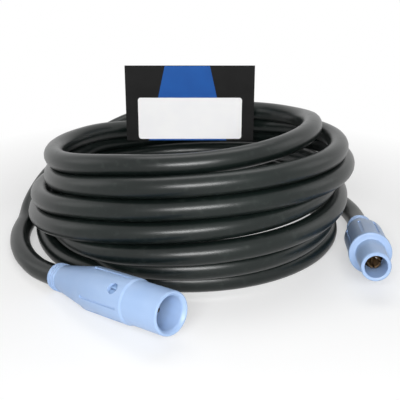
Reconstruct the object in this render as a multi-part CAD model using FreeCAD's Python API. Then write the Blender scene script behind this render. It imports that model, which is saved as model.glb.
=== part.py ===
"""Single-conductor stage-lighting power cord: a loose coil of heavy round cable
with a female and a male single-pole cam connector, and a blank swing card.

Millimetres, +Z up. The origin is at the bottom centre of the whole object, and
the object stands on z = 0. The connectors are built along +Z from the rear end
of their sleeve, then laid on their own axes.
"""
import FreeCAD, Part
import math
import os

from FreeCAD import Placement, Rotation, Vector

# --- Cable -------------------------------------------------------------------
CABLE_D = 19.8
INSULATION_D = 15.8
CONDUCTOR_D = 11.8
FOIL_D = 12.3

# --- Coil: half extents right, back, left, front, at each height ---------------
COIL_LEVELS = (
    (0.0, (153.0, 200.0, 172.0, 141.0)),
    (22.0, (152.0, 200.0, 172.0, 152.0)),
    (45.0, (160.0, 190.0, 168.0, 168.0)),
    (70.0, (164.0, 170.0, 162.0, 165.0)),
    (95.0, (160.0, 160.0, 150.0, 160.0)),
    (140.0, (133.0, 152.0, 148.0, 145.0)),
)
COIL_TOP_Z = 115.0
COIL_TOP_RISE_RIGHT = 0.11
COIL_TOP_RISE_FRONT = 0.11
COIL_HOLE_BOTTOM = (128.0, 128.0, 118.0, 121.0)
COIL_HOLE_TOP = (111.0, 128.0, 128.0, 124.0)

# --- Where the middle of the whole object's footprint lies from the coil's -----
MIDDLE = (2.2, -19.7)

# --- Routes of the two uncoiled leads, from the coil to the sleeves ------------
LEAD_FEMALE = (
    (-168.6, 36.2, 14.0),
    (-174.4, 9.6, 9.9),
    (-175.8, -16.4, 9.9),
    (-172.6, -42.2, 9.9),
    (-165.0, -67.1, 9.9),
    (-153.2, -90.3, 9.9),
    (-137.6, -111.1, 10.3),
    (-120.0, -127.4, 13.3),
)
LEAD_MALE = (
    (128.1, 113.7, 9.9),
    (144.5, 96.2, 9.9),
    (157.7, 76.2, 9.9),
    (167.5, 54.3, 9.9),
    (173.5, 31.1, 9.9),
    (175.5, 6.2, 10.0),
    (173.8, -15.5, 13.1),
)
ARC_SHARE = 0.45

# --- Sleeves, heights measured from their rear end ----------------------------
REAR_R = 12.3
BEAD_R = 0.6
BEAD_HEIGHTS = (3.2, 6.4, 9.6)
GRIP_R_FEMALE = 19.8
GRIP_R_MALE = 19.1
GRIP_STEP = 0.6
GROOVE_COUNT = 8
GROOVE_WIDTH = 2.6
GROOVE_DEPTH = 0.9
GROOVE_MARGIN = 4.0
FEMALE_LENGTH = 147.0
MALE_LENGTH = 132.0
CONE_END_FEMALE = 52.0
CONE_END_MALE = 41.0
GRIP_END_FEMALE = 105.5
GRIP_END_MALE = 86.5
BARREL_R = 18.5
SHOULDER = 2.0
FLANGE_R = 20.0
FLANGE_WIDTH = 6.5
EDGE = 1.2
JACKET_DEPTH = 36.0
CHAMBER_R = 9.6

# --- Socket and nose: the pair that mates -------------------------------------
SOCKET_MOUTH_R = 14.0
MOUTH_CHAMFER = 3.0
MOUTH_FLARE = 2.6
SOCKET_MOUTH_DEPTH = 15.0
SOCKET_R = 13.8
SOCKET_DEPTH = 39.0
SOCKET_TAPER = 2.0
NOSE_ROOT_R = 13.8
NOSE_ROOT_LENGTH = 14.0
NOSE_R = 13.5
NOSE_BORE_R = 9.95
NOSE_BORE_DEPTH = 28.0

# --- Contacts ------------------------------------------------------------------
CONTACT_R = 9.5
CONTACT_START = 47.0
WIRE_BORE_R = 6.2
WIRE_BORE_DEPTH = 26.0
PIN_R = 4.5
PIN_RECESS = 17.0
TUBE_R = 6.6
TUBE_BORE_R = 4.6
TUBE_RECESS = 15.0
TUBE_SLIT = 1.0
TUBE_SLIT_DEPTH = 14.0
CAM_GROOVE_WIDTH = 3.2
CAM_GROOVE_DEPTH = 2.0
CAM_GROOVE_BACK = 8.0
CAM_PIN_R = 1.5
CAM_PIN_REACH = 1.6
SET_SCREW_R = 3.4
SET_SCREW_LENGTH = 2.6
SET_SCREW_STARTS = (7.0, 20.0)
HEX_R = 1.9
HEX_DEPTH = 1.6

# --- Retaining screw that holds a sleeve on its contact -------------------------
SCREW_HEIGHT_FEMALE = 93.5
SCREW_HEIGHT_MALE = 79.5
SCREW_HEAD_R = 4.6
SCREW_HEAD_HEIGHT = 3.0
SCREW_SHANK_R = 3.0
SCREW_CLEARANCE = 0.35
SCREW_THREAD_FIT = 0.05
SCREW_SINK = 2.2
SCREW_REACH = 5.2
SLOT_WIDTH = 1.3
SLOT_DEPTH = 1.4
SCREW_ANGLE_FEMALE = 132.0
SCREW_ANGLE_MALE = 20.0

# --- Swing card ------------------------------------------------------------------
CARD_SIZE = (144.0, 1.2, 86.2)
CARD_CORNER = (-74.3, 98.8, 69.8)
LABEL_SIZE = (116.6, 0.4, 48.0)
LABEL_OFFSET = (13.7, 2.0)
LABEL_CORNER_R = 3.0
STRAP_WIDTH = 26.0
STRAP_THICK = 0.8
STRAP_DROP = 24.0
STRAP_REACH = 52.0
STRAP_X = -20.0

UP = Vector(0, 0, 1)


def rod(radius, length, start=0.0):
    """Round rod along +Z from the height start."""
    return Part.makeCylinder(radius, length, Vector(0, 0, start))


def turned(outline):
    """Solid turned about Z from (radius, height) points, closed on the axis."""
    points = [Vector(radius, 0, height) for radius, height in outline]
    face = Part.Face(Part.makePolygon(points + [points[0]]))
    return face.revolve(Vector(0, 0, 0), UP, 360)


def radial(shape, angle, height):
    """Turn a shape built along +Z so that it points outward at angle and height."""
    moved = shape.copy()
    outward = Placement(Vector(0, 0, height), Rotation(UP, angle)).multiply(
        Placement(Vector(0, 0, 0), Rotation(Vector(0, 1, 0), 90))
    )
    moved.Placement = outward.multiply(shape.Placement)
    return moved


def oval(extents, height):
    """Closed oval of four quarter ellipses with half extents right, back, left, front."""
    right, back, left, front = extents
    tips = (
        Vector(right, 0, height),
        Vector(0, back, height),
        Vector(-left, 0, height),
        Vector(0, -front, height),
    )
    edges = []
    for index, start in enumerate(tips):
        end = tips[(index + 1) % 4]
        middle = (start + end - Vector(0, 0, height * 2)) * math.cos(math.pi / 4)
        middle.z = height
        edges.append(quarter(start, middle, end))
    return Part.Wire(edges)


def quarter(start, middle, end):
    """Quarter of an ellipse as an edge through three points on it."""
    curve = Part.BSplineCurve()
    corner = Vector(start.x + end.x, start.y + end.y, start.z)
    weight = math.cos(math.pi / 4)
    curve.buildFromPolesMultsKnots([start, corner, end], [3, 3], [0, 1], False, 2, [1, weight, 1])
    assert curve.toShape().distToShape(Part.Vertex(middle))[0] < 0.01
    return curve.toShape()


def cable_route(points):
    """Straight runs joined by tangent arcs, each as large as its runs allow."""
    places = [Vector(*point) for point in points]
    edges = []
    radii = []
    start = places[0]
    for before, corner, after in zip(places, places[1:], places[2:]):
        into = (corner - before).normalize()
        out = (after - corner).normalize()
        turn = into.getAngle(out)
        reach = ARC_SHARE * min((corner - before).Length, (after - corner).Length)
        radius = reach / math.tan(turn / 2)
        radii.append(round(radius))
        arc_start = corner - into * reach
        arc_end = corner + out * reach
        bisector = (out - into).normalize()
        sag = radius / math.cos(turn / 2) - radius
        arc_middle = corner + bisector * sag
        edges.append(Part.LineSegment(start, arc_start).toShape())
        edges.append(Part.Arc(arc_start, arc_middle, arc_end).toShape())
        start = arc_end
    edges.append(Part.LineSegment(start, places[-1]).toShape())
    return Part.Wire(edges), radii


def make_lead(name, points):
    """Cable tube along a route, with its bend radii and volume reported."""
    path, radii = cable_route(points)
    heading = Vector(*points[1]) - Vector(*points[0])
    section = Part.Wire(Part.Circle(Vector(*points[0]), heading, CABLE_D / 2).toShape())
    tube = path.makePipeShell([section], True, False)
    expected = path.Length * math.pi * (CABLE_D / 2) ** 2
    ratio = round(tube.Volume / expected, 4)
    print(name, "radii", radii, "length", round(path.Length), "volume ratio", ratio)
    return tube


def coil_top(x, y):
    """Height of the coil's sloping top: it rises to the right and to the front."""
    return COIL_TOP_Z + COIL_TOP_RISE_RIGHT * x - COIL_TOP_RISE_FRONT * y


def make_coil():
    """Outer shape of the wound turns: an oval barrel with a sloping top and a hole."""
    barrel = Part.makeLoft([oval(extents, height) for height, extents in COIL_LEVELS], True, True)
    clear = COIL_LEVELS[-1][0] + 1.0
    hole = Part.makeLoft([oval(COIL_HOLE_BOTTOM, -1.0), oval(COIL_HOLE_TOP, clear)], True, True)
    reach = 300.0
    corners = [
        Vector(x, y, coil_top(x, y))
        for x, y in ((-reach, -reach), (reach, -reach), (reach, reach), (-reach, reach))
    ]
    above = Part.Face(Part.makePolygon(corners + [corners[0]])).extrude(Vector(0, 0, reach))
    return barrel.cut(hole).cut(above)


def sleeve_rear(cone_end, grip_r):
    """Outline of a sleeve's rear end: rounded edge and the cone up to the grip."""
    return [
        (0.0, 0.0),
        (REAR_R - EDGE, 0.0),
        (REAR_R, EDGE),
        (REAR_R, 13.0),
        (grip_r - GRIP_STEP, cone_end),
        (grip_r, cone_end + GRIP_STEP),
    ]


def add_beads(body):
    """Shallow rings round the rear end of a sleeve."""
    for height in BEAD_HEIGHTS:
        body = body.fuse(Part.makeTorus(REAR_R, BEAD_R, Vector(0, 0, height), UP))
    return body


def cut_grip(body, start, end, screw_angle, grip_r):
    """Longitudinal finger grooves in the grip, with the screw in place of one."""
    length = end - start - 2 * GROOVE_MARGIN
    for index in range(1, GROOVE_COUNT):
        groove = Part.makeBox(
            2 * GROOVE_DEPTH, GROOVE_WIDTH, length,
            Vector(grip_r - GROOVE_DEPTH, -GROOVE_WIDTH / 2, start + GROOVE_MARGIN),
        )
        angle = screw_angle + index * 360.0 / GROOVE_COUNT
        body = body.cut(groove.rotate(Vector(0, 0, 0), UP, angle))
    return body


def cut_common(body, chamber_end, screw_height, screw_angle, wall_r):
    """Cable bore, contact chamber and the sunk hole of the retaining screw."""
    body = body.cut(rod(CABLE_D / 2, JACKET_DEPTH + 1, -1))
    body = body.cut(rod(CHAMBER_R, chamber_end - JACKET_DEPTH, JACKET_DEPTH))
    hole = rod(SCREW_SHANK_R + SCREW_CLEARANCE, wall_r + 2)
    sink = rod(SCREW_HEAD_R + SCREW_CLEARANCE, wall_r, wall_r - SCREW_SINK - SCREW_HEAD_HEIGHT)
    return body.cut(radial(hole, screw_angle, screw_height)).cut(radial(sink, screw_angle, screw_height))


def female_sleeve():
    """Insulating sleeve with the wide socket at its front."""
    front = FEMALE_LENGTH
    outline = sleeve_rear(CONE_END_FEMALE, GRIP_R_FEMALE) + [
        (GRIP_R_FEMALE, GRIP_END_FEMALE),
        (BARREL_R, GRIP_END_FEMALE + SHOULDER),
        (BARREL_R, front - EDGE),
        (BARREL_R - EDGE, front),
        (0.0, front),
    ]
    body = cut_grip(
        add_beads(turned(outline)), CONE_END_FEMALE, GRIP_END_FEMALE,
        SCREW_ANGLE_FEMALE, GRIP_R_FEMALE,
    )
    floor = front - SOCKET_DEPTH
    step = front - SOCKET_MOUTH_DEPTH
    socket = turned([
        (0.0, floor), (SOCKET_R, floor), (SOCKET_R, step - SOCKET_TAPER),
        (SOCKET_MOUTH_R, step), (SOCKET_MOUTH_R, front - MOUTH_CHAMFER),
        (SOCKET_MOUTH_R + MOUTH_FLARE, front), (SOCKET_MOUTH_R + MOUTH_FLARE, front + 0.5),
        (0.0, front + 0.5),
    ])
    body = cut_common(body.cut(socket), floor, SCREW_HEIGHT_FEMALE, SCREW_ANGLE_FEMALE, GRIP_R_FEMALE)
    return body


def male_sleeve():
    """Insulating sleeve with a flange and the narrow nose at its front."""
    front = MALE_LENGTH
    flange = GRIP_END_MALE
    root = flange + FLANGE_WIDTH
    outline = sleeve_rear(CONE_END_MALE, GRIP_R_MALE) + [
        (GRIP_R_MALE, flange), (FLANGE_R, flange + 1.0), (FLANGE_R, root - EDGE),
        (FLANGE_R - EDGE, root), (NOSE_ROOT_R, root), (NOSE_ROOT_R, root + NOSE_ROOT_LENGTH),
        (NOSE_R, root + NOSE_ROOT_LENGTH + SOCKET_TAPER), (NOSE_R, front - EDGE),
        (NOSE_R - EDGE, front), (0.0, front),
    ]
    body = cut_grip(
        add_beads(turned(outline)), CONE_END_MALE, flange, SCREW_ANGLE_MALE, GRIP_R_MALE
    )
    floor = front - NOSE_BORE_DEPTH
    body = body.cut(rod(NOSE_BORE_R, NOSE_BORE_DEPTH + 1, floor))
    return cut_common(body, floor, SCREW_HEIGHT_MALE, SCREW_ANGLE_MALE, GRIP_R_MALE)


def contact_barrel(end, screw_height, screw_angle):
    """Brass barrel with the conductor bore, set-screw holes and tapped hole."""
    barrel = rod(CONTACT_R, end - CONTACT_START, CONTACT_START)
    barrel = barrel.cut(rod(WIRE_BORE_R, WIRE_BORE_DEPTH, CONTACT_START))
    for offset in SET_SCREW_STARTS:
        hole = radial(rod(SET_SCREW_R + SCREW_THREAD_FIT, CONTACT_R + 1), screw_angle, CONTACT_START + offset)
        barrel = barrel.cut(hole)
    tapped = rod(SCREW_SHANK_R + SCREW_THREAD_FIT, CONTACT_R + 1, CONTACT_R - SCREW_REACH)
    return barrel.cut(radial(tapped, screw_angle, screw_height))


def female_contact():
    """Brass barrel with the forward pin and its cam groove."""
    floor = FEMALE_LENGTH - SOCKET_DEPTH
    tip = FEMALE_LENGTH - PIN_RECESS
    body = contact_barrel(floor, SCREW_HEIGHT_FEMALE, SCREW_ANGLE_FEMALE)
    pin = turned([
        (0.0, floor), (PIN_R, floor), (PIN_R, tip - 1.0), (PIN_R - 1.0, tip), (0.0, tip),
    ])
    groove = Part.makeBox(
        CAM_GROOVE_DEPTH + 1, CAM_GROOVE_WIDTH, CAM_GROOVE_BACK + 1,
        Vector(PIN_R - CAM_GROOVE_DEPTH, -CAM_GROOVE_WIDTH / 2, tip - CAM_GROOVE_BACK),
    )
    half_turn = Part.makeBox(
        2 * PIN_R, 2 * PIN_R, CAM_GROOVE_WIDTH, Vector(-PIN_R, -PIN_R, tip - CAM_GROOVE_BACK)
    ).cut(rod(PIN_R - CAM_GROOVE_DEPTH, CAM_GROOVE_WIDTH, tip - CAM_GROOVE_BACK))
    half_turn = half_turn.common(Part.makeBox(
        4 * PIN_R, 2 * PIN_R, FEMALE_LENGTH, Vector(-2 * PIN_R, 0, 0)
    ))
    return body.fuse(pin.cut(groove).cut(half_turn))


def male_contact():
    """Brass barrel with the forward tube, slit so that it grips the pin."""
    floor = MALE_LENGTH - NOSE_BORE_DEPTH
    tip = MALE_LENGTH - TUBE_RECESS
    body = contact_barrel(floor, SCREW_HEIGHT_MALE, SCREW_ANGLE_MALE)
    tube = turned([
        (0.0, floor), (TUBE_R, floor), (TUBE_R, tip - 0.8), (TUBE_R - 0.8, tip), (0.0, tip),
    ])
    body = body.fuse(tube).cut(rod(TUBE_BORE_R, tip - floor + 1, floor))
    for angle in (0.0, 90.0):
        slit = Part.makeBox(
            2 * CONTACT_R, TUBE_SLIT, TUBE_SLIT_DEPTH + 1,
            Vector(-CONTACT_R, -TUBE_SLIT / 2, tip - TUBE_SLIT_DEPTH),
        )
        body = body.cut(slit.rotate(Vector(0, 0, 0), UP, angle))
    return body.cut(cam_pin_shape())


def cam_pin_shape():
    """Dowel that stands into the male contact's bore and rides in the cam groove."""
    dowel = rod(CAM_PIN_R, TUBE_R - TUBE_BORE_R + CAM_PIN_REACH, TUBE_BORE_R - CAM_PIN_REACH)
    return radial(dowel, 45.0, MALE_LENGTH - TUBE_RECESS - 5.0)


def set_screws(angle):
    """The two hollow-hex set screws that clamp the conductor."""
    screw = rod(SET_SCREW_R, SET_SCREW_LENGTH).cut(hex_socket(SET_SCREW_LENGTH))
    screw.translate(Vector(0, 0, FOIL_D / 2 + SCREW_THREAD_FIT))
    return Part.makeCompound([
        radial(screw, angle, CONTACT_START + offset) for offset in SET_SCREW_STARTS
    ])


def hex_socket(top):
    """Hexagonal recess down from the height top."""
    corners = [
        Vector(HEX_R * math.cos(math.radians(60 * step)), HEX_R * math.sin(math.radians(60 * step)), top)
        for step in range(7)
    ]
    return Part.Face(Part.makePolygon(corners)).extrude(Vector(0, 0, -HEX_DEPTH))


def retaining_screw(angle, height, grip_r):
    """Slotted pan-head screw, sunk in the sleeve and threaded in the contact."""
    head_foot = grip_r - SCREW_SINK - SCREW_HEAD_HEIGHT
    foot = CONTACT_R - SCREW_REACH + 0.3
    screw = rod(SCREW_SHANK_R, head_foot - foot, foot).fuse(rod(SCREW_HEAD_R, SCREW_HEAD_HEIGHT, head_foot))
    slot = Part.makeBox(
        4 * SCREW_HEAD_R, SLOT_WIDTH, SLOT_DEPTH + 1,
        Vector(-2 * SCREW_HEAD_R, -SLOT_WIDTH / 2, head_foot + SCREW_HEAD_HEIGHT - SLOT_DEPTH),
    )
    return radial(screw.cut(slot), angle, height)


def cable_end():
    """Stripped cable inside a sleeve: jacket, insulation, conductor and foil wrap."""
    insulation_end = CONTACT_START - 1.0
    wire_end = CONTACT_START + WIRE_BORE_DEPTH - 1.0
    jacket = rod(CABLE_D / 2, JACKET_DEPTH).cut(rod(INSULATION_D / 2, JACKET_DEPTH))
    insulation = rod(INSULATION_D / 2, insulation_end).cut(rod(CONDUCTOR_D / 2, insulation_end))
    conductor = rod(CONDUCTOR_D / 2, wire_end)
    foil = rod(FOIL_D / 2, wire_end - CONTACT_START, CONTACT_START).cut(
        rod(CONDUCTOR_D / 2, wire_end - CONTACT_START, CONTACT_START)
    )
    return {
        "jacket_end": jacket,
        "insulation_end": insulation,
        "conductor": conductor,
        "copper_foil": foil,
    }


def laid(shape, route):
    """Put a connector's piece on the axis that continues a lead's last run."""
    rear = Vector(*route[-1])
    heading = (rear - Vector(*route[-2])).normalize()
    sideways = UP.cross(heading).normalize()
    upward = heading.cross(sideways)
    matrix = FreeCAD.Matrix(
        sideways.x, upward.x, heading.x, rear.x,
        sideways.y, upward.y, heading.y, rear.y,
        sideways.z, upward.z, heading.z, rear.z,
    )
    moved = shape.copy()
    moved.Placement = Placement(matrix).multiply(shape.Placement)
    return moved


def make_card():
    """Blank card, its label panel, and the strap that ties it to the top turns."""
    x, y, z = CARD_CORNER
    width, thick, height = CARD_SIZE
    card = Part.makeBox(width, thick, height, Vector(x, y, z))
    label = Part.makeBox(*LABEL_SIZE, Vector(x + LABEL_OFFSET[0], y - LABEL_SIZE[1], z + LABEL_OFFSET[1]))
    upright = [edge for edge in label.Edges if abs(edge.BoundBox.YLength - LABEL_SIZE[1]) < 0.01
               and edge.Length < 1.0]
    label = label.makeFillet(LABEL_CORNER_R, upright)
    back = y + thick
    top = coil_top(STRAP_X + STRAP_WIDTH, COIL_HOLE_TOP[1]) + STRAP_THICK
    drop = Part.makeBox(STRAP_WIDTH, STRAP_THICK, STRAP_DROP, Vector(STRAP_X, back, top - STRAP_DROP))
    reach = Part.makeBox(STRAP_WIDTH, STRAP_REACH, STRAP_THICK, Vector(STRAP_X, back, top - STRAP_THICK))
    return card, label, drop.fuse(reach).removeSplitter()


def connector_nodes():
    """Every piece of both connectors, on its own axis."""
    nodes = {}
    sides = (
        ("female", LEAD_FEMALE, SCREW_ANGLE_FEMALE, SCREW_HEIGHT_FEMALE, female_sleeve, female_contact),
        ("male", LEAD_MALE, SCREW_ANGLE_MALE, SCREW_HEIGHT_MALE, male_sleeve, male_contact),
    )
    for side, route, angle, height, sleeve, contact in sides:
        pieces = dict(cable_end())
        pieces["sleeve"] = sleeve()
        pieces["contact"] = contact()
        pieces["set_screws"] = set_screws(angle)
        grip_r = GRIP_R_MALE if side == "male" else GRIP_R_FEMALE
        pieces["retaining_screw"] = retaining_screw(angle, height, grip_r)
        if side == "male":
            pieces["cam_pin"] = cam_pin_shape()
        for name, shape in pieces.items():
            nodes[f"{side}_{name}"] = laid(shape, route)
    return nodes


def main():
    """Write one STEP file for each node."""
    nodes = {
        "cable_coil": make_coil(),
        "female_lead": make_lead("female_lead", LEAD_FEMALE),
        "male_lead": make_lead("male_lead", LEAD_MALE),
    }
    nodes.update(connector_nodes())
    nodes["swing_card"], nodes["card_label"], nodes["card_strap"] = make_card()
    os.makedirs("parts", exist_ok=True)
    box = FreeCAD.BoundBox()
    for name, shape in nodes.items():
        assert shape.isValid(), name
        shape.translate(-Vector(*MIDDLE, 0))
        shape.exportStep(f"parts/{name}.step")
        box.add(shape.BoundBox)
        print(name, len(shape.Solids), round(shape.Volume))
    print("box", box)


main()
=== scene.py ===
"""Heavy single-conductor stage power cord, loosely coiled, with its two
single-pole cam connectors and an unlettered swing card, dressed for rendering.

Lengths are metres in the part's own frame, +Z up. The connectors are drawn in
millimetres along their own axis, rear end first, and then laid in place.
"""
import logging
import math
from dataclasses import dataclass
from enum import Enum
from typing import Iterable, Sequence

import bmesh
import bpy
from mathutils import Matrix, Vector


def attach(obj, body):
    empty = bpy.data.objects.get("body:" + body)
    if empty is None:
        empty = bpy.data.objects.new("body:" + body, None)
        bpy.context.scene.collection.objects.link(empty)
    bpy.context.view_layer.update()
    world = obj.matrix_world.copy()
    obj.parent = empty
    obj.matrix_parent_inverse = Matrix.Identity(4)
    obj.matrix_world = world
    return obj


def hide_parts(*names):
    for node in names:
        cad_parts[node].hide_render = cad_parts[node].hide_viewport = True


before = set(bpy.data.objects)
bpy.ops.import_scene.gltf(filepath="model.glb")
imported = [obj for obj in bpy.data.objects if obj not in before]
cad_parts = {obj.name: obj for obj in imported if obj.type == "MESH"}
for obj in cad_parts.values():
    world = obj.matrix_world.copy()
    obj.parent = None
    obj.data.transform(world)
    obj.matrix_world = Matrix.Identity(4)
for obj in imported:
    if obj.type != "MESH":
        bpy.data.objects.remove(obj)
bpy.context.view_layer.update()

LOG = logging.getLogger("power_cord")
MM = 0.001
SAME_PLACE = 1e-6
WELD_REACH = 2e-6
WELDED_SHARP = 30.0
CABLE_D = 0.0198
ROOT_BODY = "cord"
COIL_MIDDLE = Vector((-0.0022, 0.0197, 0.0))
# A quadratic spline keeps to its own control point by the first of these shares,
# and to the two points beside it by the second.
OWN_SHARE = 0.75
NEIGHBOUR_SHARE = 0.25
Point = tuple[float, float, float]
Corner = tuple[float, float]
Colour = tuple[float, float, float, float]


# --- Shader graph ---------------------------------------------------------------


class Signal:
    """An output socket whose sums and products become Math nodes."""

    def __init__(self, graph: "Graph", socket: bpy.types.NodeSocket) -> None:
        """Wrap one output socket of a graph."""
        self.graph = graph
        self.socket = socket

    def _math(self, operation: str, other: object) -> "Signal":
        """Add one Math node of this signal and another operand."""
        return self.graph.add("ShaderNodeMath", {"operation": operation}, {0: self, 1: other})

    def __add__(self, other: object) -> "Signal":
        """Sum."""
        return self._math("ADD", other)

    def __mul__(self, other: object) -> "Signal":
        """Product."""
        return self._math("MULTIPLY", other)

    __radd__ = __add__
    __rmul__ = __mul__


class Graph:
    """Node tree of a material or of the world, with one method that adds any node."""

    def __init__(self, owner: bpy.types.ID, output: str) -> None:
        """Empty the owner's node tree and give it an output.

        Args:
            owner: the material or the world.
            output: type name of its output node.
        """
        owner.use_nodes = True
        self.tree = owner.node_tree
        self.tree.nodes.clear()
        self.output = self.tree.nodes.new(output)

    def add(
        self,
        kind: str,
        settings: dict[str, object] | None = None,
        inputs: dict[object, object] | None = None,
        output: object = 0,
    ) -> Signal:
        """Add one node.

        Args:
            kind: the node's type name.
            settings: attributes that are set before the sockets.
            inputs: values or signals by socket name or number.
            output: name or number of the socket to return.

        Returns:
            The chosen output as a signal.
        """
        node = self.tree.nodes.new(kind)
        for key, value in (settings or {}).items():
            setattr(node, key, value)
        for key, value in (inputs or {}).items():
            self.feed(node.inputs[key], value)
        return Signal(self, node.outputs[output])

    def feed(self, socket: bpy.types.NodeSocket, value: object) -> None:
        """Link a signal to a socket, or set a constant on it.

        Args:
            socket: the input to feed.
            value: a signal, a number or a colour.
        """
        if isinstance(value, Signal):
            self.tree.links.new(value.socket, socket)
        else:
            socket.default_value = value

    def show(self, shader: Signal) -> None:
        """Link a shader to the output's surface."""
        self.feed(self.output.inputs["Surface"], shader)

    def background_rays(self) -> Signal:
        """Mask of the rays that show the white background.

        Returns:
            A signal that is 1 for camera, glossy and transmission rays.
        """
        total = self.add("ShaderNodeLightPath", output="Is Camera Ray")
        path = total.socket.node
        for ray in ("Is Glossy Ray", "Is Transmission Ray"):
            total = self.add(
                "ShaderNodeMath", {"operation": "ADD", "use_clamp": True},
                {0: total, 1: Signal(self, path.outputs[ray])},
            )
        return total


class SurfaceGraph(Graph):
    """Node tree of one material, built round a Principled shader."""

    def __init__(self, name: str) -> None:
        """Start a material that shows its Principled shader.

        Args:
            name: the material's name.
        """
        self.material = bpy.data.materials.new(name)
        super().__init__(self.material, "ShaderNodeOutputMaterial")
        self.principled = self.add("ShaderNodeBsdfPrincipled", output="BSDF")
        self.show(self.principled)

    def set(self, **values: object) -> None:
        """Feed the Principled shader's sockets, named with underscores."""
        for key, value in values.items():
            self.feed(self.principled.socket.node.inputs[key.replace("_", " ")], value)

    def place(self) -> Signal:
        """Object coordinates in metres."""
        return self.add("ShaderNodeTexCoord", output="Object")

    def noise(self, where: Signal, scale: float, detail: float = 3.0) -> Signal:
        """Noise value around one half.

        Args:
            where: the coordinates to read.
            scale: features per metre.
            detail: octaves of finer noise.

        Returns:
            The noise.
        """
        return self.add(
            "ShaderNodeTexNoise", {}, {"Vector": where, "Scale": scale, "Detail": detail}
        )

    def range(self, signal: Signal, low: float, high: float, least: float = 0.0) -> Signal:
        """Stretch a signal from low..high to least..1, clamped.

        Args:
            signal: the signal to stretch.
            low: its value that becomes least.
            high: its value that becomes 1.
            least: the lowest result.

        Returns:
            The stretched signal.
        """
        return self.add(
            "ShaderNodeMapRange", {"clamp": True},
            {"Value": signal, "From Min": low, "From Max": high, "To Min": least},
        )

    def blend(self, mask: Signal, first: object, second: object) -> Signal:
        """Mix two colours by a mask.

        Args:
            mask: 0 for the first colour, 1 for the second.
            first: a colour or a signal.
            second: a colour or a signal.

        Returns:
            The mixed colour.
        """
        return self.add(
            "ShaderNodeMix", {"data_type": "RGBA"}, {0: mask, 6: first, 7: second}, output=2
        )

    def bump(self, height: Signal, distance: float) -> Signal:
        """Normal from a height signal.

        Args:
            height: the signal, 0 to 1.
            distance: metres that a height of 1 stands for.

        Returns:
            The normal.
        """
        return self.add(
            "ShaderNodeBump", {},
            {"Height": height, "Distance": distance, "Strength": 1.0}, output="Normal",
        )


def colour(red: float, green: float, blue: float) -> Colour:
    """Linear colour with full opacity."""
    return (red, green, blue, 1.0)


WHITE = colour(1.0, 1.0, 1.0)


@dataclass(frozen=True)
class Finish:
    """A surface: two tones mixed by soft noise, with a fine grain."""

    name: str
    tone: Colour
    second: Colour
    roughness: float
    spread: float = 0.08
    metallic: float = 0.0
    patch_scale: float = 30.0
    patch_low: float = 0.35
    patch_high: float = 0.65
    grain_scale: float = 1500.0
    grain_detail: float = 1.0
    grain_depth: float = 0.00004
    specular: float = 0.5

    def build(self) -> bpy.types.Material:
        """Make the material, once per name.

        Returns:
            The material, new or made before.
        """
        known = bpy.data.materials.get(self.name)
        if known:
            return known
        graph = SurfaceGraph(self.name)
        self.paint(graph)
        return graph.material

    def paint(self, graph: SurfaceGraph) -> None:
        """Feed the shader with the tones, the roughness and the grain.

        Args:
            graph: the material's new node tree.
        """
        where = graph.place()
        patch = graph.range(
            graph.noise(where, self.patch_scale), self.patch_low, self.patch_high
        )
        grain = graph.noise(where, self.grain_scale, self.grain_detail)
        graph.set(
            Base_Color=graph.blend(patch, self.tone, self.second),
            Roughness=patch * self.spread + self.roughness,
            Metallic=self.metallic,
            Specular_IOR_Level=self.specular,
            Normal=graph.bump(grain, self.grain_depth),
        )


@dataclass(frozen=True)
class CableJacket(Finish):
    """Extruded rubber: satin black with handling dust and faint scuffs."""

    patch_scale: float = 9.0
    patch_high: float = 0.7
    patch_spread: float = 0.04
    dust: Colour = colour(0.030, 0.038, 0.034)
    dust_scale: float = 160.0
    dust_detail: float = 5.0
    dust_low: float = 0.56
    dust_high: float = 0.78
    dust_cover: float = 0.35
    grain_share: float = 0.6
    dust_share: float = 0.4

    def paint(self, graph: SurfaceGraph) -> None:
        """Feed the shader with the rubber, its dust and its grain.

        Args:
            graph: the material's new node tree.
        """
        where = graph.place()
        patch = graph.range(
            graph.noise(where, self.patch_scale), self.patch_low, self.patch_high
        )
        dusty = graph.range(
            graph.noise(where, self.dust_scale, self.dust_detail), self.dust_low, self.dust_high
        )
        grain = graph.noise(where, self.grain_scale, self.grain_detail)
        rubber = graph.blend(patch, self.tone, self.second)
        graph.set(
            Base_Color=graph.blend(dusty * self.dust_cover, rubber, self.dust),
            Roughness=dusty * self.spread + patch * self.patch_spread + self.roughness,
            Specular_IOR_Level=self.specular,
            Normal=graph.bump(
                grain * self.grain_share + dusty * self.dust_share, self.grain_depth
            ),
        )


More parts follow.
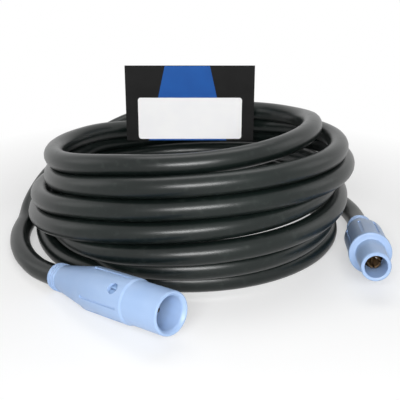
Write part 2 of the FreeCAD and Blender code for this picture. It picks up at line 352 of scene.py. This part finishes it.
class Surface(Enum):
    """Every finish on the cord, its connectors and its card."""

    JACKET = CableJacket(
        "cable_jacket_rubber", colour(0.0025, 0.0045, 0.004), colour(0.005, 0.0090, 0.0078),
        roughness=0.30, grain_scale=900.0, grain_detail=2.0, specular=0.36,
    )
    SLEEVE = Finish(
        "sleeve_elastomer", colour(0.31, 0.43, 0.64), colour(0.27, 0.39, 0.61),
        roughness=0.36, patch_scale=22.0, grain_scale=1300.0, grain_depth=0.00003,
    )
    # Brass with painted shade: both tones are darkened to stand in for the shade deep inside the
    # connector bores.
    BRASS = Finish(
        "brass_painted_dark_as_shade", colour(0.110, 0.075, 0.040), colour(0.080, 0.052, 0.028),
        roughness=0.42, metallic=1.0, patch_scale=120.0,
    )
    STEEL = Finish(
        "steel_plated", colour(0.42, 0.42, 0.43), colour(0.33, 0.33, 0.35),
        roughness=0.32, metallic=1.0, patch_scale=200.0,
    )
    SCREW_PLASTIC = Finish(
        "retaining_screw_plastic", colour(0.20, 0.31, 0.50), colour(0.17, 0.27, 0.45),
        roughness=0.42, patch_scale=200.0,
    )
    COPPER = Finish(
        "bare_copper", colour(0.70, 0.30, 0.14), colour(0.52, 0.20, 0.09),
        roughness=0.34, metallic=1.0, patch_scale=240.0,
    )
    INSULATION = Finish(
        "inner_insulation", colour(0.62, 0.60, 0.52), colour(0.56, 0.54, 0.46),
        roughness=0.5,
    )
    CARD = Finish(
        "card_black", colour(0.006, 0.006, 0.006), colour(0.009, 0.009, 0.009),
        roughness=0.55, patch_scale=60.0, grain_depth=0.00002, specular=0.15,
    )
    BAND = Finish(
        "card_blue_band", colour(0.004, 0.080, 0.34), colour(0.005, 0.090, 0.37),
        roughness=0.5, patch_scale=50.0, grain_depth=0.00002, specular=0.3,
    )
    LABEL = Finish(
        "label_white", colour(0.93, 0.93, 0.93), colour(0.91, 0.91, 0.92),
        roughness=0.5, patch_scale=50.0, grain_depth=0.00001,
    )


# --- Mesh helpers ------------------------------------------------------------------


def dress(obj: bpy.types.Object, surface: Surface) -> None:
    """Give an object one finish on all its faces."""
    obj.data.materials.clear()
    obj.data.materials.append(surface.value.build())


def to_object(name: str, bm: bmesh.types.BMesh, sharp: float = 40.0) -> bpy.types.Object:
    """Turn a bmesh into a linked object with smooth faces and sharp creases.

    Args:
        name: the new object's name.
        bm: the finished mesh, freed here.
        sharp: angle in degrees above which an edge stays sharp.

    Returns:
        The object, at the origin.
    """
    mesh = bpy.data.meshes.new(name)
    bm.to_mesh(mesh)
    bm.free()
    mesh.polygons.foreach_set("use_smooth", [True] * len(mesh.polygons))
    mesh.set_sharp_from_angle(angle=math.radians(sharp))
    obj = bpy.data.objects.new(name, mesh)
    bpy.context.scene.collection.objects.link(obj)
    return obj


def spun(outline: Sequence[Corner], steps: int) -> bmesh.types.BMesh:
    """Spin a closed outline about Z.

    Args:
        outline: (radius, height) corners in order, in millimetres.
        steps: number of faces round the axis.

    Returns:
        The closed solid, in metres.
    """
    bm = bmesh.new()
    verts = [bm.verts.new((radius * MM, 0.0, height * MM)) for radius, height in outline]
    edges = [
        bm.edges.new((start, end)) for start, end in zip(verts, verts[1:] + verts[:1])
        if max(start.co.x, end.co.x) > 0.0
    ]
    bmesh.ops.spin(
        bm, geom=verts + edges, cent=(0, 0, 0), axis=(0, 0, 1),
        angle=2 * math.pi, steps=steps, use_merge=True,
    )
    bmesh.ops.remove_doubles(bm, verts=bm.verts, dist=SAME_PLACE)
    bmesh.ops.recalc_face_normals(bm, faces=bm.faces)
    return bm


def join_into(target: bmesh.types.BMesh, other: bmesh.types.BMesh) -> None:
    """Copy one bmesh into another and free it.

    Args:
        target: the mesh that grows.
        other: the mesh that is copied and freed.
    """
    mesh = bpy.data.meshes.new("joined")
    other.to_mesh(mesh)
    other.free()
    target.from_mesh(mesh)
    bpy.data.meshes.remove(mesh)


def carve(body: bpy.types.Object, cutter: bpy.types.Object) -> None:
    """Cut one solid from another and keep the result in the body's mesh.

    Args:
        body: the object that is cut.
        cutter: the object that is cut away, removed here.
    """
    modifier = body.modifiers.new("carve", "BOOLEAN")
    modifier.object = cutter
    modifier.operation = "DIFFERENCE"
    modifier.solver = "EXACT"
    graph = bpy.context.evaluated_depsgraph_get()
    result = bpy.data.meshes.new_from_object(body.evaluated_get(graph))
    body.modifiers.remove(modifier)
    body.data = result
    bpy.data.objects.remove(cutter)


def welded_copy(node: str, name: str) -> bpy.types.Object:
    """Merge a copy of a CAD node's triangles and shade it smooth.

    Args:
        node: the CAD node it replaces.
        name: the copy's name.

    Returns:
        The copy, which stands in for the node.
    """
    bm = bmesh.new()
    bm.from_mesh(bpy.data.objects[node].data)
    bmesh.ops.remove_doubles(bm, verts=bm.verts, dist=WELD_REACH)
    bmesh.ops.dissolve_degenerate(bm, edges=bm.edges, dist=SAME_PLACE)
    obj = to_object(name, bm, WELDED_SHARP)
    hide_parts(node)
    return obj


# --- Cable ---------------------------------------------------------------------------


@dataclass
class WoundCable:
    """The cable: one male lead, seven loose turns, a tail, and one female lead.

    The leads are points in metres from the coil's middle. Each station of the
    coil is (azimuth in degrees, radius, height), with the azimuth counted on
    from +X through all the turns, and its lengths, the clearance and the floor
    in millimetres. The coil's control points run from the first azimuth to the
    last, one at every step.
    """

    length: float = 7.5
    step: float = 15.0
    first: float = 48.0
    last: float = 2688.0
    clearance: float = 19.9
    floor: float = 9.9
    settling_rounds: int = 60
    settling_share: float = 0.3
    bevel_resolution: int = 7
    curve_resolution: int = 5
    lead_male: tuple[Point, ...] = (
        (0.1738, -0.0155, 0.0131),
        (0.1755, 0.0062, 0.0100),
        (0.1735, 0.0311, 0.0099),
        (0.1675, 0.0543, 0.0099),
        (0.1577, 0.0762, 0.0099),
        (0.1445, 0.0962, 0.0099),
        (0.1281, 0.1137, 0.0099),
    )
    lead_female: tuple[Point, ...] = (
        (-0.1744, 0.0096, 0.0099),
        (-0.1758, -0.0164, 0.0099),
        (-0.1726, -0.0422, 0.0099),
        (-0.1650, -0.0671, 0.0099),
        (-0.1532, -0.0903, 0.0099),
        (-0.1376, -0.1111, 0.0103),
        (-0.1200, -0.1274, 0.0133),
    )
    stations: tuple[Point, ...] = (
        (41.6, 171.3, 9.9), (60, 177, 9.9), (75, 184, 9.9), (90, 190, 9.9),
        (180, 153, 9.9), (270, 131, 9.9), (360, 143, 9.9), (405, 148.5, 9.9),
        (450, 170, 9.9), (540, 130, 9.9), (630, 148, 31), (720, 138, 29),
        (810, 160, 27), (900, 138, 27), (990, 158, 51), (1080, 150, 50),
        (1170, 180, 31), (1260, 157, 33), (1350, 153, 70), (1440, 138, 70),
        (1530, 140, 44), (1620, 153, 52), (1710, 150, 89), (1800, 155, 84),
        (1890, 160, 56), (1980, 139, 71), (2070, 148, 108), (2160, 146, 103),
        (2182, 142, 98), (2250, 142, 76), (2340, 138, 91), (2430, 134, 123),
        (2520, 121, 120), (2565, 134, 101), (2610, 138, 95), (2635, 161, 82),
        (2655, 172, 58), (2678, 177, 30), (2696, 177, 13),
    )

    def slope(self, index: int, column: int) -> float:
        """Rate of change of one column at a station.

        Args:
            index: the station's number.
            column: 1 for the radius, 2 for the height.

        Returns:
            Millimetres per degree, leaning to the nearer neighbour's.
        """
        here = self.stations[index]
        back = self.stations[max(index - 1, 0)]
        on = self.stations[min(index + 1, len(self.stations) - 1)]
        if back is here or on is here:
            return (on[column] - back[column]) / (on[0] - back[0])
        before, after = here[0] - back[0], on[0] - here[0]
        rise_in = (here[column] - back[column]) / before
        rise_out = (on[column] - here[column]) / after
        return (rise_in * after + rise_out * before) / (before + after)

    def station_at(self, azimuth: float, column: int) -> float:
        """Smooth value of one column between the stations.

        Args:
            azimuth: degrees from +X, counted on through the turns.
            column: 1 for the radius, 2 for the height.

        Returns:
            Millimetres, on a cubic that meets each station at its slope.
        """
        index = max(i for i in range(len(self.stations) - 1) if self.stations[i][0] <= azimuth)
        start, end = self.stations[index], self.stations[index + 1]
        span = end[0] - start[0]
        t = (azimuth - start[0]) / span
        return (
            (2 * t**3 - 3 * t**2 + 1) * start[column]
            + (t**3 - 2 * t**2 + t) * span * self.slope(index, column)
            + (3 * t**2 - 2 * t**3) * end[column]
            + (t**3 - t**2) * span * self.slope(index + 1, column)
        )

    def settled(self) -> list[list[float]]:
        """Turns at every step, eased apart where they would lie in each other.

        Returns:
            An [azimuth, radius, height] for each control point of the coil.
        """
        count = round((self.last - self.first) / self.step) + 1
        turns = []
        for index in range(count):
            azimuth = self.first + index * self.step
            turns.append([azimuth, self.station_at(azimuth, 1), self.station_at(azimuth, 2)])
        planes: dict[float, list[list[float]]] = {}
        for turn in turns:
            planes.setdefault(turn[0] % 360, []).append(turn)
        for _ in range(self.settling_rounds):
            for plane in planes.values():
                self.push_apart(plane)
            for turn in turns:
                turn[2] = max(turn[2], self.floor)
        return turns

    def push_apart(self, plane: list[list[float]]) -> None:
        """Ease every pair of turns that cross one upright plane too closely.

        Args:
            plane: the turns that cross it, moved in place.
        """
        for index, lower in enumerate(plane):
            for upper in plane[index + 1:]:
                across, up = upper[1] - lower[1], upper[2] - lower[2]
                apart = math.hypot(across, up)
                if apart < self.clearance:
                    missing = self.clearance - apart
                    share = self.settling_share * missing / max(apart, SAME_PLACE)
                    lower[1] -= across * share
                    upper[1] += across * share
                    lower[2] -= up * share
                    upper[2] += up * share

    def route(self) -> list[Vector]:
        """Control points from the male sleeve to the female sleeve.

        Returns:
            The points in the part's frame. Those of the coil stand further out
            than its turns, because the spline runs inside its control points.
        """
        swell = 1.0 / (OWN_SHARE + NEIGHBOUR_SHARE * math.cos(math.radians(self.step)))
        points = [Vector(point) for point in self.lead_male]
        for azimuth, radius, height in self.settled():
            angle = math.radians(azimuth)
            points.append(Vector((
                math.cos(angle) * radius * swell, math.sin(angle) * radius * swell, height,
            )) * MM)
        points += [Vector(point) for point in self.lead_female]
        return [point + COIL_MIDDLE for point in points]

    def build(self) -> bpy.types.Object:
        """Make the cable as one open curve and dress it.

        Returns:
            The cable's curve object.
        """
        points = self.route()
        curve = bpy.data.curves.new("cable", "CURVE")
        curve.dimensions = "3D"
        curve.bevel_depth = CABLE_D / 2
        curve.bevel_resolution = self.bevel_resolution
        curve.resolution_u = self.curve_resolution
        curve.use_fill_caps = True
        spline = curve.splines.new("NURBS")
        spline.points.add(len(points) - 1)
        for knot, point in zip(spline.points, points):
            knot.co = (*point, 1.0)
        spline.order_u = 3
        spline.use_endpoint_u = True
        obj = bpy.data.objects.new("cable", curve)
        bpy.context.scene.collection.objects.link(obj)
        dress(obj, Surface.JACKET)
        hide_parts("cable_coil", "female_lead", "male_lead")
        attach(obj, ROOT_BODY)
        return obj


# --- Connectors ------------------------------------------------------------------------


class Side(Enum):
    """Which end of the cord a connector is on."""

    FEMALE = "female"
    MALE = "male"


@dataclass
class CamConnector:
    """One single-pole cam connector on the axis that continues its lead.

    The rear end and the lead's point before it are metres from the coil's
    middle. All other lengths are millimetres along the connector's own axis or
    out from it, and front is the (radius, height) outline of the sleeve from
    the end of its grip, round the front and back in to the contact's chamber.
    """

    side: Side
    rear: Point
    before: Point
    front: tuple[Corner, ...]
    cone_end: float
    grip_end: float
    screw_height: float
    screw_angle: float
    spin_steps: int = 96
    sharp: float = 35.0
    rear_r: float = 12.3
    rear_edge: float = 0.7
    bead_r: float = 0.6
    bead_step: int = 30
    bead_heights: tuple[float, ...] = (3.2, 6.4, 9.6)
    neck_start: float = 12.4
    neck_end: float = 13.4
    neck_rise: float = 0.2
    grip_r: float = 19.1
    grip_shoulder: tuple[Corner, ...] = ((0.75, -0.4), (0.2, 0.0), (0.0, 0.7))
    groove_count: int = 8
    groove_width: float = 2.6
    groove_depth: float = 0.9
    groove_margin: float = 4.0
    groove_round: float = 1.1
    groove_segments: int = 4
    jacket_depth: float = 36.0
    jacket_r: float = 9.92
    jacket_lead_in: float = 0.5
    chamber_r: float = 9.6
    chamber_step: float = 0.3
    well_steps: int = 40
    well_floor: float = 13.8
    well_edge: float = 0.7
    well_flare: float = 2.0
    well_top: float = 3.0
    head_well_r: float = 4.95
    shank_hole_r: float = 3.35
    shank_hole_reach: float = 2.0

    @property
    def matrix(self) -> Matrix:
        """From the connector's own axis to the part's frame.

        Returns:
            A turn and a move, with no scale.
        """
        rear = Vector(self.rear)
        heading = (rear - Vector(self.before)).normalized()
        sideways = Vector((0, 0, 1)).cross(heading).normalized()
        upward = heading.cross(sideways)
        turn = Matrix((sideways, upward, heading)).transposed().to_4x4()
        return Matrix.Translation(rear + COIL_MIDDLE) @ turn

    def outline(self) -> list[Corner]:
        """Closed outline of the sleeve, from the cable bore round the outside.

        Returns:
            The (radius, height) corners in order, in millimetres.
        """
        points = [
            (self.jacket_r, self.jacket_lead_in), (self.jacket_r + self.jacket_lead_in, 0.0),
            (self.rear_r - self.rear_edge, 0.0), (self.rear_r, self.rear_edge),
        ]
        for height in self.bead_heights:
            for turn in range(-90, 91, self.bead_step):
                angle = math.radians(turn)
                points.append((
                    self.rear_r + self.bead_r * math.cos(angle),
                    height + self.bead_r * math.sin(angle),
                ))
        points += [
            (self.rear_r, self.neck_start), (self.rear_r + self.neck_rise, self.neck_end),
        ]
        points += [(self.grip_r - inset, self.cone_end + on) for inset, on in self.grip_shoulder]
        points += self.front
        points += [
            (self.chamber_r, self.jacket_depth + self.chamber_step),
            (self.jacket_r, self.jacket_depth),
        ]
        return points

    def grooves(self) -> bmesh.types.BMesh:
        """Cutter for the finger grooves along the grip.

        Returns:
            One round-ended bar for each groove, none in line with the screw.
        """
        cutter = bmesh.new()
        length = (self.grip_end - self.cone_end - 2 * self.groove_margin) * MM
        middle = (self.grip_end + self.cone_end) / 2 * MM
        for index in range(1, self.groove_count):
            bm = bmesh.new()
            bmesh.ops.create_cube(bm, size=1.0)
            bmesh.ops.scale(
                bm, vec=(2 * self.groove_depth * MM, self.groove_width * MM, length), verts=bm.verts
            )
            ends = [e for e in bm.edges if abs(e.verts[0].co.x - e.verts[1].co.x) > SAME_PLACE]
            bmesh.ops.bevel(
                bm, geom=ends, offset=self.groove_round * MM, segments=self.groove_segments,
                profile=0.5, affect="EDGES", material=-1,
            )
            bmesh.ops.translate(bm, vec=(self.grip_r * MM, 0, middle), verts=bm.verts)
            angle = math.radians(self.screw_angle + index * 360.0 / self.groove_count)
            bmesh.ops.rotate(bm, matrix=Matrix.Rotation(angle, 3, "Z"), verts=bm.verts)
            join_into(cutter, bm)
        return cutter

    def screw_well(self) -> bmesh.types.BMesh:
        """Cutter for the retaining screw's hole and the well that sinks its head.

        Returns:
            A stepped plug that points out from the axis at the screw.
        """
        low, top = self.chamber_r - self.shank_hole_reach, self.grip_r + self.well_top
        bm = spun(
            [(0.0, low), (self.shank_hole_r, low),
             (self.shank_hole_r, self.well_floor), (self.head_well_r, self.well_floor),
             (self.head_well_r, self.grip_r - self.well_edge),
             (self.head_well_r + self.well_flare, top), (0.0, top)],
            self.well_steps,
        )
        outward = Matrix.Rotation(math.radians(self.screw_angle), 4, "Z") @ Matrix.Rotation(
            math.pi / 2, 4, "Y"
        )
        place = Matrix.Translation((0, 0, self.screw_height * MM)) @ outward
        bmesh.ops.transform(bm, matrix=place, verts=bm.verts)
        return bm

    def sleeve(self) -> bpy.types.Object:
        """Make and dress the moulded sleeve with its grooves and screw well.

        Returns:
            The sleeve, which stands in for its CAD node.
        """
        name = f"{self.side.value}_sleeve_moulding"
        body = to_object(name, spun(self.outline(), self.spin_steps))
        carve(body, to_object("grooves", self.grooves()))
        carve(body, to_object("screw_well", self.screw_well()))
        bm = bmesh.new()
        bm.from_mesh(body.data)
        bmesh.ops.transform(bm, matrix=self.matrix, verts=bm.verts)
        bpy.data.objects.remove(body)
        obj = to_object(name, bm, self.sharp)
        dress(obj, Surface.SLEEVE)
        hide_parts(f"{self.side.value}_sleeve")
        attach(obj, ROOT_BODY)
        return obj

    def build(self) -> list[bpy.types.Object]:
        """Make the sleeve and dress every other piece of the connector.

        Returns:
            The sleeve, then the pieces that it holds.
        """
        side = self.side.value
        made = [self.sleeve()]
        inner = {
            "contact": (Surface.BRASS, "contact_brass", ROOT_BODY),
            "set_screws": (Surface.STEEL, "screw_steel", ROOT_BODY),
            "copper_foil": (Surface.COPPER, "copper_foil", ROOT_BODY),
            "conductor": (Surface.COPPER, "stranded_copper", ROOT_BODY),
            "insulation_end": (Surface.INSULATION, "cable_insulation", ROOT_BODY),
            "jacket_end": (Surface.JACKET, "cable_jacket", ROOT_BODY),
            "retaining_screw": (Surface.SCREW_PLASTIC, "retaining_screw", f"{side}_screw"),
        }
        if self.side is Side.MALE:
            inner["cam_pin"] = (Surface.STEEL, "screw_steel", ROOT_BODY)
        for piece, (surface, slot, body) in inner.items():
            obj = welded_copy(f"{side}_{piece}", f"{side}_{piece}_shown")
            dress(obj, surface)
            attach(obj, body)
            made.append(obj)
        return made


# Collar, barrel, lip, then the socket's mouth, its narrower depth and its floor.
FEMALE_FRONT = (
    (19.8, 105.2), (19.65, 105.8), (18.7, 106.9), (18.5, 107.6),
    (18.5, 144.9), (18.35, 145.9), (17.9, 146.7), (17.2, 147.0),
    (16.7, 147.0), (16.2, 146.7), (14.3, 144.5), (14.0, 143.6),
    (14.0, 132.0), (13.8, 130.0), (13.8, 108.6), (13.2, 108.0), (9.6, 108.0),
)
# Flange, nose root, nose, lip, then the bore of the nose and its floor.
MALE_FRONT = (
    (19.1, 86.3), (19.25, 86.8), (19.7, 87.2), (20.0, 87.9), (20.0, 91.6),
    (19.8, 92.4), (19.2, 92.9), (18.5, 93.0), (14.8, 93.0), (14.1, 93.2),
    (13.8, 93.9), (13.8, 107.0), (13.5, 109.0), (13.5, 130.4), (13.3, 131.3),
    (12.6, 132.0), (11.1, 132.0), (10.3, 131.6), (9.95, 130.8), (9.95, 104.0), (9.6, 103.9),
)


# --- Card --------------------------------------------------------------------------------


def rectangle(left: float, low: float, right: float, high: float) -> list[Corner]:
    """Corners of an upright rectangle, from its lower left."""
    return [(left, low), (right, low), (right, high), (left, high)]


@dataclass
class SwingCard:
    """Card with a plain band and an empty label, tied to the top turns.

    Lengths are metres from the coil's middle, and the label is its left, low,
    right and high edge.
    """

    left: float = -0.0743
    right: float = 0.0697
    front: float = 0.0988
    thick: float = 0.0012
    bottom: float = 0.0698
    top: float = 0.1560
    label: tuple[float, float, float, float] = (-0.0606, 0.0718, 0.0560, 0.1198)
    label_corner: float = 0.003
    label_thick: float = 0.0004
    corner_segments: int = 6
    band_middle: float = -0.0050
    band_half_top: float = 0.0250
    band_half_bottom: float = 0.0440
    band_thick: float = 0.00015
    band_margin: float = 0.0003

    def plate(
        self, corners: Sequence[Corner], back: float, thick: float, corner: float = 0.0
    ) -> bmesh.types.BMesh:
        """Upright plate from its outline.

        Args:
            corners: (x, z) points in order, in the coil's frame.
            back: y of the plate's back face.
            thick: the plate's thickness, towards -Y.
            corner: radius of its upright corners, or 0.

        Returns:
            The closed plate.
        """
        bm = bmesh.new()
        face = bm.faces.new([bm.verts.new((x, back, z)) for x, z in corners])
        if corner:
            bmesh.ops.bevel(
                bm, geom=list(bm.verts), offset=corner, segments=self.corner_segments,
                profile=0.5, affect="VERTICES", material=-1,
            )
            face = max(bm.faces, key=lambda each: each.calc_area())
        made = bmesh.ops.extrude_face_region(bm, geom=[face])
        moved = [item for item in made["geom"] if isinstance(item, bmesh.types.BMVert)]
        bmesh.ops.translate(bm, vec=(0, -thick, 0), verts=moved)
        bmesh.ops.recalc_face_normals(bm, faces=bm.faces)
        bmesh.ops.translate(bm, vec=COIL_MIDDLE, verts=bm.verts)
        return bm

    def band_corners(self) -> list[Corner]:
        """Corners of the band, which widens downwards.

        Returns:
            The (x, z) corners in order, from the lower left.
        """
        low, high = self.bottom + self.band_margin, self.top - self.band_margin
        return [
            (self.band_middle - self.band_half_bottom, low),
            (self.band_middle + self.band_half_bottom, low),
            (self.band_middle + self.band_half_top, high),
            (self.band_middle - self.band_half_top, high),
        ]

    def build(self) -> list[bpy.types.Object]:
        """Make the card, its band, its label and its strap.

        Returns:
            The four pieces.
        """
        board = to_object("swing_card_board", self.plate(
            rectangle(self.left, self.bottom, self.right, self.top),
            self.front + self.thick, self.thick,
        ))
        band = to_object("swing_card_band", self.plate(
            self.band_corners(), self.front, self.band_thick,
        ))
        panel = to_object("swing_card_label", self.plate(
            rectangle(*self.label), self.front - self.band_thick,
            self.label_thick - self.band_thick, self.label_corner,
        ))
        strap = welded_copy("card_strap", "swing_card_strap")
        dress(board, Surface.CARD)
        dress(band, Surface.BAND)
        dress(panel, Surface.LABEL)
        dress(strap, Surface.CARD)
        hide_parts("swing_card")
        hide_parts("card_label")
        pieces = [board, band, panel, strap]
        for piece in pieces:
            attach(piece, ROOT_BODY)
        return pieces


# --- Studio --------------------------------------------------------------------------------


@dataclass(frozen=True)
class Lamp:
    """One soft rectangular lamp: its place and target, its size and its watts."""

    name: str
    place: Point
    target: Point
    width: float
    height: float
    watts: float

    def build(self) -> None:
        """Hang the lamp and aim it."""
        data = bpy.data.lights.new(self.name, "AREA")
        data.shape = "RECTANGLE"
        data.size = self.width
        data.size_y = self.height
        data.energy = self.watts
        obj = bpy.data.objects.new(self.name, data)
        obj.location = self.place
        aim = Vector(self.target) - Vector(self.place)
        obj.rotation_euler = aim.to_track_quat("-Z", "Y").to_euler()
        bpy.context.scene.collection.objects.link(obj)


@dataclass
class Studio:
    """Pale floor, soft lamps, a pale world and the camera.

    The floor shows pure white from shadow_far outwards, counted in metres from
    the frame's origin, and shadow_white of it from shadow_near inwards, where
    the object's shadow falls.
    """

    camera_at: Point = (0.0068, -0.7543, 0.349)
    camera_tilt: float = 68.0
    lens: float = 72.0
    sensor: float = 36.0
    floor_tone: Colour = colour(0.90, 0.90, 0.90)
    floor_size: float = 6.0
    floor_roughness: float = 0.9
    floor_specular: float = 0.1
    shadow_near: float = 0.24
    shadow_far: float = 0.45
    shadow_white: float = 0.45
    world_light: float = 0.08
    white_light: float = 1.0
    lamps: tuple[Lamp, ...] = (
        Lamp(
            "key", place=(0.02, -1.05, 0.52), target=(0.0, 0.0, 0.05),
            width=0.70, height=0.26, watts=14.0,
        ),
        Lamp(
            "top", place=(0.0, 0.35, 1.3), target=(0.0, 0.0, 0.0),
            width=1.2, height=0.5, watts=6.0,
        ),
        Lamp(
            "right", place=(1.2, 0.1, 0.6), target=(0.0, 0.0, 0.05),
            width=0.7, height=0.7, watts=1.5,
        ),
        Lamp(
            "left", place=(-1.2, 0.1, 0.6), target=(0.0, 0.0, 0.05),
            width=0.7, height=0.7, watts=1.5,
        ),
    )

    def camera(self) -> None:
        """Set the camera at its place and angle."""
        data = bpy.data.cameras.new("camera")
        data.lens = self.lens
        data.sensor_width = self.sensor
        obj = bpy.data.objects.new("camera", data)
        obj.location = self.camera_at
        obj.rotation_euler = (math.radians(self.camera_tilt), 0.0, 0.0)
        bpy.context.scene.collection.objects.link(obj)
        bpy.context.scene.camera = obj

    def floor(self) -> None:
        """Lay the pale floor, which shows white to background rays."""
        bm = bmesh.new()
        bmesh.ops.create_grid(bm, x_segments=1, y_segments=1, size=self.floor_size)
        obj = to_object("floor", bm)
        graph = SurfaceGraph("floor_pale")
        graph.set(
            Base_Color=self.floor_tone, Roughness=self.floor_roughness,
            Specular_IOR_Level=self.floor_specular,
        )
        away = graph.add(
            "ShaderNodeVectorMath", {"operation": "LENGTH"}, {0: graph.place()}, "Value"
        )
        seen = graph.background_rays()
        white = graph.add(
            "ShaderNodeEmission", {}, {"Color": WHITE, "Strength": self.white_light}
        )
        share = graph.range(away, self.shadow_near, self.shadow_far, self.shadow_white)
        graph.show(graph.add(
            "ShaderNodeMixShader", {}, {0: share * seen, 1: graph.principled, 2: white}
        ))
        obj.data.materials.append(graph.material)

    def world(self) -> None:
        """Make the pale world, which shows white to background rays."""
        world = bpy.data.worlds.new("pale_world")
        graph = Graph(world, "ShaderNodeOutputWorld")
        plain = graph.add(
            "ShaderNodeBackground", {}, {"Color": WHITE, "Strength": self.world_light}
        )
        white = graph.add(
            "ShaderNodeBackground", {}, {"Color": WHITE, "Strength": self.white_light}
        )
        graph.show(graph.add(
            "ShaderNodeMixShader", {}, {0: graph.background_rays(), 1: plain, 2: white}
        ))
        bpy.context.scene.world = world

    def build(self) -> None:
        """Set the whole stage."""
        bpy.context.scene.view_settings.view_transform = "Standard"
        self.camera()
        self.floor()
        for lamp in self.lamps:
            lamp.build()
        self.world()


def report(pieces: Iterable[bpy.types.Object]) -> None:
    """Log each finished piece.

    Args:
        pieces: the meshes and curves in the order they were made.
    """
    for piece in pieces:
        if piece.type == "CURVE":
            LOG.info("%s: %d control points", piece.name, len(piece.data.splines[0].points))
        else:
            LOG.info("%s: %d faces", piece.name, len(piece.data.polygons))


def main() -> None:
    """Build the stage, the cable, both connectors and the card."""
    logging.basicConfig(level=logging.INFO, format="%(message)s")
    Studio().build()
    cable_maker = WoundCable()
    cable = cable_maker.build()
    male = CamConnector(
        Side.MALE, cable_maker.lead_male[0], cable_maker.lead_male[1], MALE_FRONT,
        cone_end=41.0, grip_end=86.5, screw_height=79.5, screw_angle=20.0,
    )
    female = CamConnector(
        Side.FEMALE, cable_maker.lead_female[-1], cable_maker.lead_female[-2], FEMALE_FRONT,
        cone_end=52.0, grip_end=105.5, screw_height=93.5, screw_angle=132.0,
        grip_r=19.8, well_floor=14.5,
    )
    male_pieces = male.build()
    far_pieces = female.build()
    card_pieces = SwingCard().build()
    report([cable, *male_pieces, *far_pieces, *card_pieces])


if __name__ == "__main__":
    main()
